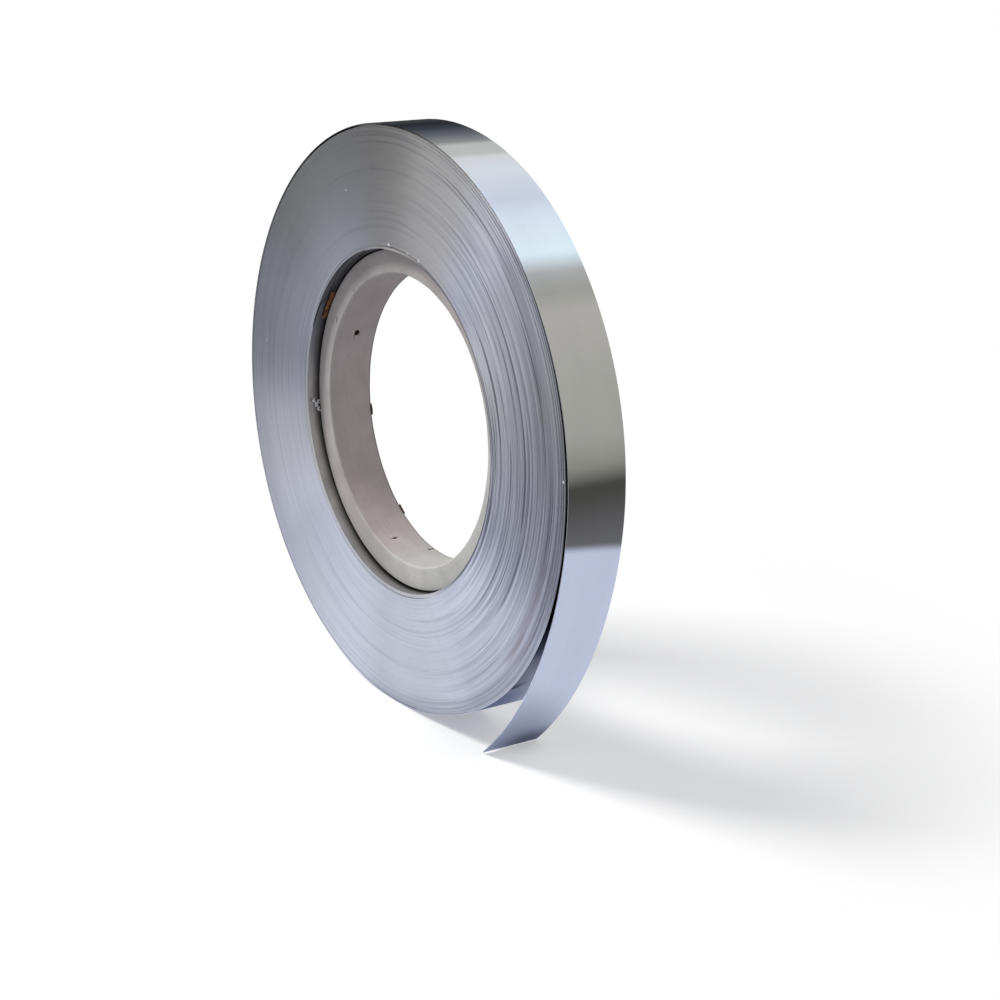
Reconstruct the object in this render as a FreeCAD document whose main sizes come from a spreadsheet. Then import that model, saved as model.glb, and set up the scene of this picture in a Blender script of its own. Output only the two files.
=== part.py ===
"""Aluminium channel letter coil: a long flat strip wound edge to edge on a paper core,
standing on its rim with its free end sprung away from the last turn.

The coil's axis runs along Y, the end seen from the front faces -Y, and Z is up.
The origin is on the axis, half way across the strip.
"""

import FreeCAD, Part
import math
import os
import Sketcher

# Driving sizes, in millimetres and degrees: name, value, what it is
DRIVING_SIZES = [
    ("coil_radius", 300.0, "outside of the coil, where the free end starts to lift"),
    ("strip_width", 65.0, "width of the strip, and so of the coil"),
    ("strip_gauge", 0.8, "thickness of the strip"),
    ("lift_angle", 45.0, "where the free end starts to lift, up from the front right"),
    ("lift_gap", 0.2, "air under the last turn where it starts to lift"),
    ("lift_easing", 10.5, "how much wider than the coil the first sprung stretch is bent"),
    ("lift_span", 51.0, "angle of that first stretch"),
    ("tail_easing", 104.0, "how much wider than the coil the rest is bent, down to the floor"),
    ("tip_clearance", 1.5, "how far the cut end stays above the floor"),
    ("core_radius", 175.0, "outside of the paper core"),
    ("core_wall", 25.0, "thickness of the paper core"),
    ("core_width", 50.0, "width of the paper core"),
    ("core_inset", 0.5, "how far the core lies inside the back end of the coil"),
    ("core_fit_gap", 0.3, "air between the core and the first turn"),
    ("core_bevel", 1.0, "bevel on the core's outer edges"),
    ("core_bore_bevel", 2.0, "bevel on the edges of the core's bore"),
    ("first_turns", 4.0, "thickness of the first turns, which slipped towards the back"),
    ("first_turns_slip", 1.2, "how far those first turns slipped"),
    ("bundle_slip", 0.8, "how far two neighbouring bundles of turns slipped past each other"),
]

# Sizes that follow from the driving ones
DERIVED_SIZES = [
    ("turn_growth", "=strip_gauge + lift_gap"),
    ("lift_radius", "=coil_radius + lift_easing"),
    ("tail_radius", "=coil_radius + tail_easing"),
    ("pack_radius", "=coil_radius - 2 * turn_growth"),
    ("last_turn_inside", "=coil_radius - 3 * turn_growth"),
    ("pack_bore_radius", "=core_radius + core_fit_gap"),
    ("core_bore_radius", "=core_radius - core_wall"),
]

# Bundles of turns between the first turns and the last one, each slipped a little
# sideways as a whole, so that the turns show as steps on both ends of the coil
BUNDLES = 10

# The two ends of a sketch line or arc, and the centre of an arc
START, END, CENTRE = range(1, 4)

# A sketch's own level axis, with the origin as its start, and its upright axis
LEVEL_AXIS, UPRIGHT_AXIS = range(-1, -3, -1)
ORIGIN = (LEVEL_AXIS, START)

doc = FreeCAD.newDocument("channel_letter_coil")
sheet = doc.addObject("Spreadsheet::Sheet", "sizes")


def fill_sheet():
    """Write the driving sizes and what follows from them, each with its alias."""
    for row, (name, value, meaning) in enumerate(DRIVING_SIZES, start=1):
        sheet.set("A%d" % row, name)
        sheet.set("B%d" % row, str(value))
        sheet.set("C%d" % row, meaning)
        sheet.setAlias("B%d" % row, name)
    for row, (name, formula) in enumerate(DERIVED_SIZES, start=len(DRIVING_SIZES) + 1):
        sheet.set("A%d" % row, name)
        sheet.set("B%d" % row, formula)
        sheet.setAlias("B%d" % row, name)
    doc.recompute()


def now(formula):
    """What a formula of the sheet's sizes comes to."""
    return float(sheet.evalExpression(formula))


def new_body(label):
    body = doc.addObject("PartDesign::Body", label)
    body.Label = label
    return body


def new_sketch(body, name, plane_role):
    """A sketch on one of the body's own origin planes."""
    sketch = body.newObject("Sketcher::SketchObject", name)
    plane = [item for item in body.Origin.OriginFeatures if item.Role == plane_role][0]
    sketch.AttachmentSupport = (plane, [""])
    sketch.MapMode = "FlatFace"
    return sketch


def join(sketch, kind, *where):
    """Hold parts of a sketch to each other."""
    sketch.addConstraint(Sketcher.Constraint(kind, *where))


def bind(sketch, kind, where, formula):
    """Add a dimension to a sketch and tie it to the sheet."""
    value = now(formula)
    if kind == "Angle":
        value = math.radians(value)
    index = sketch.addConstraint(Sketcher.Constraint(kind, *where, value))
    sketch.setExpression("Constraints[%d]" % index, formula)


def add_outline(sketch, corners):
    """A closed outline of upright and level sides, each held by a formula.

    The corners are pairs of formulas, across and up, and the first side is upright.
    """
    points = [FreeCAD.Vector(now(across), now(up), 0) for across, up in corners]
    count = len(points)
    for index in range(count):
        sketch.addGeometry(Part.LineSegment(points[index], points[(index + 1) % count]), False)
    for index in range(count):
        join(sketch, "Coincident", index, END, (index + 1) % count, START)
    for index in range(0, count, 2):
        join(sketch, "Vertical", index)
        join(sketch, "Horizontal", index + 1)
        bind(sketch, "DistanceX", (*ORIGIN, index, START), corners[index][0])
        bind(sketch, "DistanceY", (*ORIGIN, index + 1, START), corners[index + 1][1])


def turn_about_axis(body, name, sketch):
    """Turn a section about the coil's axis, which is the sketch's level axis."""
    feature = body.newObject("PartDesign::Revolution", name)
    feature.Profile = sketch
    feature.ReferenceAxis = (sketch, ["H_Axis"])
    feature.Angle = 360
    return feature


def bevel_circles(body, name, base, circle_radius, bevel):
    """Take the edge off every full circle of a turned piece that has a given radius."""
    doc.recompute()
    edges = []
    for number, edge in enumerate(base.Shape.Edges, start=1):
        is_circle = edge.Curve.TypeId == "Part::GeomCircle"
        if is_circle and abs(edge.Curve.Radius - now(circle_radius)) < 0.01:
            edges.append("Edge%d" % number)
    chamfer = body.newObject("PartDesign::Chamfer", name)
    chamfer.Base = (base, edges)
    chamfer.setExpression("Size", bevel)
    return chamfer


def direction(degrees):
    return FreeCAD.Vector(math.cos(math.radians(degrees)), math.sin(math.radians(degrees)), 0)


def add_arc(sketch, centre, radius, first, last):
    """A counter-clockwise arc between two directions in degrees."""
    circle = Part.Circle(centre, FreeCAD.Vector(0, 0, 1), radius)
    arc = Part.ArcOfCircle(circle, math.radians(first), math.radians(last))
    return sketch.addGeometry(arc, False)


def draw_last_turn(sketch):
    """Four quarter arcs, clockwise from where the strip lifts, each a little larger.

    They carry the coil's outside through one turn, so that it ends one strip and one
    gap further out than it began.
    """
    step = now("sizes.turn_growth / 4")
    quarters = []
    centre = FreeCAD.Vector(0, 0, 0)
    for index in range(4):
        radius = now("sizes.coil_radius") - (4 - index) * step
        first = now("sizes.lift_angle") - 90 * (index + 1)
        quarters.append(add_arc(sketch, centre, radius, first, first + 90))
        centre = centre - direction(first) * step
    return quarters


def hold_last_turn(sketch, quarters, lift_line):
    join(sketch, "Coincident", quarters[0], CENTRE, *ORIGIN)
    join(sketch, "Coincident", lift_line, START, *ORIGIN)
    join(sketch, "Coincident", lift_line, END, quarters[0], END)
    bind(sketch, "Angle", (lift_line,), "sizes.lift_angle")
    for index, quarter in enumerate(quarters):
        quarters_to_go = 4 - index
        bind(sketch, "Radius", (quarter,),
             "sizes.coil_radius - %d * sizes.turn_growth / 4" % quarters_to_go)
        bind(sketch, "Angle", (quarter,), "360 / 4")


def draw_bend(sketch, centre, radius, first, last):
    """One bend of the strip: its outer and its inner face."""
    gauge = now("sizes.strip_gauge")
    outside = add_arc(sketch, centre, radius, first, last)
    inside = add_arc(sketch, centre, radius - gauge, first, last)
    join(sketch, "Coincident", inside, CENTRE, outside, CENTRE)
    return outside, inside


def add_last_turn_and_tail(sketch):
    """The last turn and the free end, seen along the coil's axis.

    After its last turn the strip lifts, with a little air under it. It runs through a
    first stretch that is barely sprung and a wide bend, and its end, cut off square,
    comes down to just above the floor that the coil's lowest point stands on.
    """
    quarters = draw_last_turn(sketch)
    lowest_quarter = quarters[1]

    lift = now("sizes.lift_angle")
    bend = lift - now("sizes.lift_span")
    lift_radius = now("sizes.lift_radius")
    tail_radius = now("sizes.tail_radius")
    lift_centre = direction(lift) * (now("sizes.coil_radius") - lift_radius)
    tail_centre = lift_centre + direction(bend) * (lift_radius - tail_radius)
    floor = now("3 * sizes.turn_growth / 4 - sizes.coil_radius")
    tip_height = floor + now("sizes.tip_clearance")
    tip = math.degrees(math.asin((tip_height - tail_centre.y) / tail_radius))
    lift_outside, lift_inside = draw_bend(sketch, lift_centre, lift_radius, bend, lift)
    tail_outside, tail_inside = draw_bend(sketch, tail_centre, tail_radius, tip, bend)
    tip_outside = tail_centre + direction(tip) * tail_radius
    tip_inside = tail_centre + direction(tip) * (tail_radius - now("sizes.strip_gauge"))
    cut_end = sketch.addGeometry(Part.LineSegment(tip_outside, tip_inside), False)
    root_start = direction(lift) * now("sizes.coil_radius - sizes.turn_growth")
    root_end = direction(lift) * now("sizes.coil_radius - sizes.strip_gauge")
    root = sketch.addGeometry(Part.LineSegment(root_start, root_end), False)

    axis = FreeCAD.Vector(0, 0, 0)
    lift_line = sketch.addGeometry(Part.LineSegment(axis, root_start), True)
    floor_start = FreeCAD.Vector(0, floor, 0)
    floor_end = FreeCAD.Vector(tip_outside.x, floor, 0)
    floor_line = sketch.addGeometry(Part.LineSegment(floor_start, floor_end), True)
    seat = Part.Circle(axis, FreeCAD.Vector(0, 0, 1), now("sizes.last_turn_inside"))
    seat = sketch.addGeometry(seat, False)

    hold_last_turn(sketch, quarters, lift_line)
    chain = quarters + [lift_outside, tail_outside]
    for one, following in zip(chain, chain[1:]):
        join(sketch, "Tangent", one, START, following, END)
    bind(sketch, "Radius", (lift_outside,), "sizes.lift_radius")
    bind(sketch, "Angle", (lift_outside,), "sizes.lift_span")
    bind(sketch, "Radius", (tail_outside,), "sizes.tail_radius")
    bind(sketch, "Radius", (lift_inside,), "sizes.lift_radius - sizes.strip_gauge")
    join(sketch, "Tangent", lift_inside, START, tail_inside, END)

    join(sketch, "PointOnObject", floor_line, START, UPRIGHT_AXIS)
    join(sketch, "Horizontal", floor_line)
    join(sketch, "Tangent", floor_line, lowest_quarter)
    join(sketch, "Vertical", floor_line, END, tail_outside, START)
    bind(sketch, "DistanceY", (floor_line, END, tail_outside, START), "sizes.tip_clearance")

    join(sketch, "Coincident", cut_end, START, tail_outside, START)
    join(sketch, "Coincident", cut_end, END, tail_inside, START)
    join(sketch, "Perpendicular", cut_end, tail_outside)
    join(sketch, "Coincident", root, START, quarters[0], END)
    join(sketch, "Coincident", root, END, lift_inside, END)
    join(sketch, "Parallel", root, lift_line)

    join(sketch, "Coincident", seat, CENTRE, *ORIGIN)
    bind(sketch, "Radius", (seat,), "sizes.last_turn_inside")


def pack_corners():
    """The turned pack's section: across is along the coil's axis, up is outwards.

    The first turns slipped to the back, and the bundles outside them slipped in turn to
    the front and to the back. All are one strip wide, so what stands out on one end is
    as deep on the other.
    """
    bundle = "(sizes.pack_radius - sizes.pack_bore_radius - sizes.first_turns) / %d" % BUNDLES
    slips = ["sizes.first_turns_slip"]
    radii = ["sizes.pack_bore_radius"]
    for index in range(BUNDLES):
        way = "-" if index % 2 == 0 else "+"
        slips.append("%s sizes.bundle_slip / 2" % way)
        radii.append("sizes.pack_bore_radius + sizes.first_turns + %d * %s" % (index, bundle))
    radii.append("sizes.pack_radius")
    front = []
    back = []
    for slip, inside, outside in zip(slips, radii, radii[1:]):
        front_end = "-sizes.strip_width / 2 + " + slip
        back_end = "sizes.strip_width / 2 + " + slip
        front += [(front_end, inside), (front_end, outside)]
        back += [(back_end, inside), (back_end, outside)]
    return front + back[::-1]


def make_strip():
    """The wound strip: the turned pack, then its last turn and free end."""
    body = new_body("wound_strip")

    section = new_sketch(body, "pack_section", "YZ_Plane")
    add_outline(section, pack_corners())
    turn_about_axis(body, "pack", section)

    outline = new_sketch(body, "last_turn_outline", "XZ_Plane")
    add_last_turn_and_tail(outline)
    last_turn = body.newObject("PartDesign::Pad", "last_turn_and_tail")
    last_turn.Profile = outline
    last_turn.SideType = "Symmetric"
    last_turn.setExpression("Length", "sizes.strip_width")
    return body


def make_core():
    """The paper core, flush with the back end and set back from the front one."""
    body = new_body("core")
    section = new_sketch(body, "core_section", "YZ_Plane")
    back = "sizes.strip_width / 2 - sizes.core_inset"
    front = back + " - sizes.core_width"
    add_outline(section, [(front, "sizes.core_bore_radius"), (front, "sizes.core_radius"),
                          (back, "sizes.core_radius"), (back, "sizes.core_bore_radius")])
    ring = turn_about_axis(body, "ring", section)
    outer = bevel_circles(body, "outer_edges", ring, "sizes.core_radius", "sizes.core_bevel")
    bevel_circles(body, "bore_edges", outer, "sizes.core_bore_radius", "sizes.core_bore_bevel")
    doc.recompute()
    return body


def check_and_write(bodies):
    """Stop at anything that failed, then write each piece."""
    doc.recompute()
    for item in doc.Objects:
        if "Invalid" in item.State or "Error" in item.State:
            raise RuntimeError("%s is %s" % (item.Name, item.State))
    for item in doc.Objects:
        if item.TypeId == "Sketcher::SketchObject" and item.solve() != 0:
            raise RuntimeError("%s has no solution" % item.Name)
    os.makedirs("parts", exist_ok=True)
    for body in bodies:
        if body.Shape.isNull() or not body.Shape.isValid() or len(body.Shape.Solids) != 1:
            raise RuntimeError("%s is not one valid solid" % body.Label)
        body.Shape.exportStep("parts/%s.step" % body.Label)
        box = body.Shape.BoundBox
        print(body.Label, "volume %.0f" % body.Shape.Volume,
              "x %.2f %.2f" % (box.XMin, box.XMax), "y %.2f %.2f" % (box.YMin, box.YMax),
              "z %.2f %.2f" % (box.ZMin, box.ZMax))


fill_sheet()
check_and_write([make_strip(), make_core()])
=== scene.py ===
"""The looks of an aluminium channel letter coil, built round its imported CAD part.

Metres throughout. The coil's axis is Y, the end that is seen faces -Y, and Z is up.
"""

import math

import bmesh
import bpy
from mathutils import Matrix, Vector, noise


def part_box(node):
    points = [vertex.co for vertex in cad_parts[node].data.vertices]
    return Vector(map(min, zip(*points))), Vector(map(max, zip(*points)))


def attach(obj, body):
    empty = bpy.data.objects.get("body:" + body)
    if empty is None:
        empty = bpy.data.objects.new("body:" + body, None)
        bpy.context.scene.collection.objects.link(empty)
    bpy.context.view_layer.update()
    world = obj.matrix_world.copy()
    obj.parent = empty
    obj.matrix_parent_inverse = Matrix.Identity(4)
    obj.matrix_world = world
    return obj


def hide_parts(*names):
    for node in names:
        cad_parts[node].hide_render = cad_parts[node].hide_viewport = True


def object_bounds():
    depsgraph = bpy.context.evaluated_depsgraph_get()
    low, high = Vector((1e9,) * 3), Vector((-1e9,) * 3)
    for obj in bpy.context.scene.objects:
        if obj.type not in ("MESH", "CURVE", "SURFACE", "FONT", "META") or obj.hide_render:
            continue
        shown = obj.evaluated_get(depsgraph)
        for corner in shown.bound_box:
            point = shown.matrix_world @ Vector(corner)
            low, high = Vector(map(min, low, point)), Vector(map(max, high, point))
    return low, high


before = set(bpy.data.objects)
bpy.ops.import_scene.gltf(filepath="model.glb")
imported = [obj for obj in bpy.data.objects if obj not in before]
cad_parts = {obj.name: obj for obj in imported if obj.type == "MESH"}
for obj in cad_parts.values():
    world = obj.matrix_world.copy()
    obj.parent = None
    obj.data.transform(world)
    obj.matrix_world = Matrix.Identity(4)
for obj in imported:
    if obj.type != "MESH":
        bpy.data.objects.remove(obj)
cad_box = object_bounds()

MM = 0.001

# Driving sizes of the coil, the same as in the part's source
STRIP_WIDTH = 65 * MM
STRIP_GAUGE = 0.8 * MM
COIL_RADIUS = 300 * MM
TURN_GROWTH = 1.0 * MM
LIFT_ANGLE = 45.0
LIFT_EASING = 10.5 * MM
LIFT_SPAN = 51.0
TAIL_EASING = 104 * MM
TAIL_END_ANGLE = -47.93
CORE_WALL = 25 * MM
CORE_FIT_GAP = 0.3 * MM

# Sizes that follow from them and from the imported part
CORE_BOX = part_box("core")
CORE_RADIUS = CORE_BOX[1].x
CORE_BORE = CORE_RADIUS - CORE_WALL
CORE_NEAR = CORE_BOX[0].y
CORE_FAR = CORE_BOX[1].y
PACK_RADIUS = COIL_RADIUS - 2 * TURN_GROWTH
PACK_BORE = CORE_RADIUS + CORE_FIT_GAP
FLOOR_HEIGHT = cad_box[0].z
NEAR_FACE = -STRIP_WIDTH / 2
FAR_FACE = STRIP_WIDTH / 2

# Room that keeps the dressed rim just inside the CAD's
HAIR = 0.12 * MM

# How the turns lie
FIRST_TURNS = 5
FIRST_TURNS_SLIP = 1.2 * MM
FIRST_TURNS_END = PACK_BORE + FIRST_TURNS * STRIP_GAUGE
STRIP_START = 153.0
BROAD_SLIP = 0.11 * MM
SUDDEN_SLIP = 0.10 * MM
TURN_WANDER = 0.05 * MM
TURN_ARRIS = 0.025 * MM
TURN_SKIRT = 2.2 * MM
TURN_STEPS = 164

# The outermost turns lie loose and swell outwards at the side, under the free end
LOOSE_TURNS = 16
LOOSE_FROM = PACK_RADIUS - LOOSE_TURNS * STRIP_GAUGE
SWELL = 5.7 * MM
SWELL_START = 10.0
SWELL_MIDDLE = -40.0
SWELL_END = -78.0

# The part of the last turn that the free end covers, along the strip from where it lifts; painted shade
# darkens it
SHADED_FROM = 0.27
SHADED_TO = 0.52

# Angles about the axis where the finish of the wound turns changes, and where sheen, a warm reflection,
# light and shade are painted on
STREAKED_SIDE = 12.0
SHEEN_SIDE = 65.0
WARM_REFLECTION_SIDE = 81.0
SHADED_SIDE = 119.0
AVERTED_SIDE = 155.0
OTHER_SHEEN_SIDE = 200.0
FOOT_SIDE = -76.0
LOW_SIDE = -85.0
LIFTING_SIDE = 16.0
STAIN_ANGLE = -29.0
STAIN_RADIUS = 0.94 * COIL_RADIUS
STAIN_REACH = 0.045 * COIL_RADIUS

# The angle towards which the board core gets painted light, its lightest tones
PAINTED_LIGHT_SIDE = -42.0

# Turns that stand a little back and show as dark lines of painted shade: (radius, how dark)
SLIPPED_TURNS = (
    (0.985 * COIL_RADIUS, 0.8),
    (0.975 * COIL_RADIUS, 0.55),
    (0.962 * COIL_RADIUS, 0.7),
    (0.915 * COIL_RADIUS, 0.35),
    (0.842 * COIL_RADIUS, 0.3),
    (0.742 * COIL_RADIUS, 0.25),
)

# How far in the near edges of the first two turns lie, at angles about the axis
FIRST_EDGE = (
    (94.0, 0.0),
    (104.0, 2.0 * MM),
    (115.0, 8.5 * MM),
    (128.0, 10.6 * MM),
    (153.0, 11.2 * MM),
)
SECOND_EDGE = (
    (100.0, 0.0),
    (113.0, 0.4 * MM),
    (122.0, 2.1 * MM),
    (130.0, 3.2 * MM),
    (137.0, 7.6 * MM),
    (142.0, 7.6 * MM),
    (149.0, 1.3 * MM),
    (161.0, 0.0),
)
SECOND_EDGE_LEAD = 8


# Places about the axis

def unit(degrees):
    """The direction at an angle about the coil's axis, counted from +X up to +Z."""
    angle = math.radians(degrees)
    return Vector((math.cos(angle), 0.0, math.sin(angle)))


def spot_at(degrees, radius, y):
    """The place at an angle, a radius and a depth."""
    return unit(degrees) * radius + Vector((0.0, y, 0.0))


def ring_at(degrees, profile):
    """The points of a profile of (radius, y) at an angle about the axis."""
    way = unit(degrees)
    return [(way.x * radius, y, way.z * radius) for radius, y in profile]


def flat_part(spot):
    """A place without its depth: the way out from the axis, as long as the radius."""
    return Vector((spot.x, 0.0, spot.z))


def eased(share):
    """A share from 0 to 1, eased at both ends."""
    share = min(1.0, max(0.0, share))
    return share * share * (3 - 2 * share)


def along(table, angle):
    """A value between the entries of a table of (angle, value), eased from one to the next."""
    if angle <= table[0][0]:
        return table[0][1]
    for (start, low), (end, high) in zip(table, table[1:]):
        if angle <= end:
            return low + (high - low) * eased((angle - start) / (end - start))
    return table[-1][1]


def swelling(degrees):
    """How far the loose turns stand out at an angle about the axis."""
    rise = eased((SWELL_START - degrees) / (SWELL_START - SWELL_MIDDLE))
    fall = eased((degrees - SWELL_END) / (SWELL_MIDDLE - SWELL_END))
    return SWELL * min(rise, fall)


# Meshes

def new_object(name, mesh):
    """A new object at the origin, in the scene."""
    piece = bpy.data.objects.new(name, mesh)
    bpy.context.scene.collection.objects.link(piece)
    return piece


def mesh_object(name, points, faces, materials):
    """A new object from points and faces."""
    mesh = bpy.data.meshes.new(name)
    mesh.from_pydata(points, [], faces)
    mesh.validate()
    for material in materials:
        mesh.materials.append(material)
    return new_object(name, mesh)


def shell_object(name, shell, material):
    """A new object from a bmesh, which is freed."""
    mesh = bpy.data.meshes.new(name)
    shell.to_mesh(mesh)
    shell.free()
    mesh.materials.append(material)
    return new_object(name, mesh)


def finished_mesh(piece):
    """The plain mesh of a piece with its modifiers applied."""
    bpy.context.view_layer.update()
    depsgraph = bpy.context.evaluated_depsgraph_get()
    return bpy.data.meshes.new_from_object(piece.evaluated_get(depsgraph))


def skin(rings, count, closed):
    """Faces between rings of points, one ring after the other, with caps if they don't close."""
    faces = []
    for ring in range(rings if closed else rings - 1):
        here = ring * count
        there = (ring + 1) % rings * count
        for corner in range(count):
            after = (corner + 1) % count
            faces.append((here + corner, here + after, there + after, there + corner))
    if not closed:
        end = (rings - 1) * count
        faces.append(tuple(range(count)))
        faces.append(tuple(end + corner for corner in reversed(range(count))))
    return faces


def face_outwards(piece):
    """Turns every face of a closed mesh outwards and merges doubles."""
    shell = bmesh.new()
    shell.from_mesh(piece.data)
    bmesh.ops.remove_doubles(shell, verts=shell.verts, dist=1e-7)
    bmesh.ops.recalc_face_normals(shell, faces=shell.faces)
    shell.to_mesh(piece.data)
    shell.free()


def smooth_with_arrises(piece, degrees):
    """Smooth shading, with the edges that are sharper than this angle kept crisp."""
    for face in piece.data.polygons:
        face.use_smooth = True
    piece.data.set_sharp_from_angle(angle=math.radians(degrees))


def lay_strip_map(piece, places):
    """The strip's map: for each point, its place along the strip and across it."""
    layer = piece.data.uv_layers.new(name="strip")
    for face in piece.data.polygons:
        for loop in face.loop_indices:
            layer.data[loop].uv = places[piece.data.loops[loop].vertex_index]


# Nodes

def feed(tree, socket, value):
    """Gives a socket a number, a vector, three numbers of colour or another node's output."""
    if isinstance(value, bpy.types.NodeSocket):
        tree.links.new(value, socket)
    elif socket.type == "RGBA":
        socket.default_value = (*value, 1.0)
    else:
        socket.default_value = value


def new_node(tree, kind, feeds=(), **settings):
    """A new node with its settings and what its sockets are fed with."""
    node = tree.nodes.new(kind)
    for name, value in settings.items():
        setattr(node, name, value)
    for name, value in dict(feeds).items():
        feed(tree, node.inputs[name], value)
    return node


def emptied_tree(owner):
    """The node tree of a material or world, emptied."""
    owner.use_nodes = True
    owner.node_tree.nodes.clear()
    return owner.node_tree


def new_material(name, fixed=()):
    """A node material with its output and its shader, and the shader's fixed numbers."""
    material = bpy.data.materials.new(name)
    tree = emptied_tree(material)
    shader = new_node(tree, "ShaderNodeBsdfPrincipled", fixed)
    new_node(tree, "ShaderNodeOutputMaterial", {"Surface": shader.outputs["BSDF"]})
    return material, tree, shader


def maths(tree, operation, *values):
    """A Math node. Each value is a number or another node's output."""
    return new_node(tree, "ShaderNodeMath", enumerate(values), operation=operation).outputs[0]


def times(tree, first, second):
    """The product of two values."""
    return maths(tree, "MULTIPLY", first, second)


def weighed(tree, start, *pairs):
    """A value, and added to it some others, each times its weight."""
    total = start
    for value, weight in pairs:
        total = maths(tree, "MULTIPLY_ADD", value, weight, total)
    return total


def apart(tree, value, place):
    """How far a value is from a number."""
    return maths(tree, "ABSOLUTE", maths(tree, "SUBTRACT", value, place))


def vector_maths(tree, operation, *values):
    """A Vector Math node, its vector output, or the number for a length or a dot product."""
    node = new_node(tree, "ShaderNodeVectorMath", enumerate(values), operation=operation)
    return node.outputs["Value" if operation in ("LENGTH", "DOT_PRODUCT") else "Vector"]


def scaled(tree, vector, amount):
    """A vector times a number."""
    feeds = {0: vector, "Scale": amount}
    return new_node(tree, "ShaderNodeVectorMath", feeds, operation="SCALE").outputs["Vector"]


def joined(tree, *values):
    """A vector from three numbers or outputs."""
    return new_node(tree, "ShaderNodeCombineXYZ", enumerate(values)).outputs["Vector"]


def parts_of(tree, vector):
    """The three numbers of a vector."""
    return new_node(tree, "ShaderNodeSeparateXYZ", {0: vector}).outputs


def grain(tree, vector, scale, detail=2.0, roughness=0.5):
    """Noise from 0 to 1 on a vector."""
    feeds = {"Vector": vector, "Scale": scale, "Detail": detail, "Roughness": roughness}
    return new_node(tree, "ShaderNodeTexNoise", feeds).outputs["Fac"]


def spread(tree, value, low, high, to_low=0.0, to_high=1.0, smooth=False):
    """Stretches a value from one range to another."""
    feeds = {
        "Value": value,
        "From Min": low,
        "From Max": high,
        "To Min": to_low,
        "To Max": to_high,
    }
    kind = "SMOOTHSTEP" if smooth else "LINEAR"
    return new_node(tree, "ShaderNodeMapRange", feeds, interpolation_type=kind).outputs["Result"]


def smoothed(tree, value, low, high, to_low=0.0, to_high=1.0):
    """Stretches a value from one range to another, eased at both ends."""
    return spread(tree, value, low, high, to_low, to_high, True)


def blended(tree, amount, first, second):
    """Mixes two colours by an amount. Each colour is three numbers or an output."""
    return new_node(
        tree, "ShaderNodeMix", {0: amount, 6: first, 7: second}, data_type="RGBA"
    ).outputs[2]


def coat(tree, shader, colour, rough):
    """Gives a shader its colour and roughness."""
    feed(tree, shader.inputs["Base Color"], colour)
    feed(tree, shader.inputs["Roughness"], rough)


def relief(tree, shader, height, depth, strength=1.0):
    """Bump of a real depth, in metres."""
    feeds = {"Strength": strength, "Distance": depth, "Height": height}
    bump = new_node(tree, "ShaderNodeBump", feeds)
    feed(tree, shader.inputs["Normal"], bump.outputs["Normal"])


def object_place(tree):
    """The place on the piece, in metres."""
    return new_node(tree, "ShaderNodeTexCoord").outputs["Object"]


def about_axis(tree):
    """For patterns that run round the coil: the outward direction, the radius and the depth."""
    place = object_place(tree)
    flat = vector_maths(tree, "MULTIPLY", place, (1.0, 0.0, 1.0))
    outward = vector_maths(tree, "NORMALIZE", flat)
    return outward, vector_maths(tree, "LENGTH", flat), parts_of(tree, place)["Y"]


def on_side(tree, outward, side, low, high, to_low=0.0, to_high=1.0):
    """A change from where a side's angle is far to where it is near, by their cosine."""
    towards = vector_maths(tree, "DOT_PRODUCT", outward, unit(side))
    return smoothed(tree, towards, low, high, to_low, to_high)


def by_radius(tree, radius, low, high, to_low=0.0, to_high=1.0, smooth=False):
    """A change between two shares of the coil's radius."""
    return spread(tree, radius, low * COIL_RADIUS, high * COIL_RADIUS, to_low, to_high, smooth)


def drawn_grain(tree, outward, round_scale, across, detail=2.0):
    """Noise drawn out round the axis, which changes with another measure."""
    round_part = scaled(tree, outward, round_scale)
    vector = vector_maths(tree, "ADD", round_part, joined(tree, 0.0, across, 0.0))
    return grain(tree, vector, 1.0, detail)


def ring_grain(tree, outward, radius, round_scale, radial_scale, seed, detail=2.0):
    """Noise drawn out into arcs round the axis."""
    across = maths(tree, "ADD", times(tree, radius, radial_scale), seed)
    return drawn_grain(tree, outward, round_scale, across, detail)


def swelling_of(tree, angle):
    """The same as swelling, for nodes. The angle is in radians."""
    start, middle, end = map(math.radians, (SWELL_START, SWELL_MIDDLE, SWELL_END))
    rise = smoothed(tree, angle, middle, start, SWELL, 0.0)
    fall = smoothed(tree, angle, end, middle, 0.0, SWELL)
    return maths(tree, "MINIMUM", rise, fall)


def wound_radius(tree, outward, radius):
    """The radius that a place has without the swelling, so that the streaks follow the turns."""
    parts = parts_of(tree, outward)
    out = swelling_of(tree, maths(tree, "ARCTAN2", parts["Z"], parts["X"]))
    loose = PACK_RADIUS - LOOSE_FROM
    squeeze = maths(tree, "DIVIDE", loose, maths(tree, "ADD", out, loose))
    within = maths(tree, "SUBTRACT", radius, LOOSE_FROM)
    within = maths(tree, "MULTIPLY_ADD", within, squeeze, LOOSE_FROM)
    within = maths(tree, "MINIMUM", within, radius)
    return maths(tree, "MAXIMUM", within, maths(tree, "SUBTRACT", radius, out))


# Slit edges of the strip

# Noise: how fast it changes round the coil and outwards, its seed and its detail
TURN_GRAIN = (1.1, 480.0, 3.0, 1.0)
BUNDLE_GRAIN = (0.8, 225.0, 11.0, 2.0)
BROAD_GRAIN = (1.0, 40.0, 23.0, 2.0)
SLIP_GRAIN = (1.3, 300.0, 37.0, 1.0)
STAIN_GRAIN = (3.4, 120.0, 53.0, 3.0)

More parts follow.
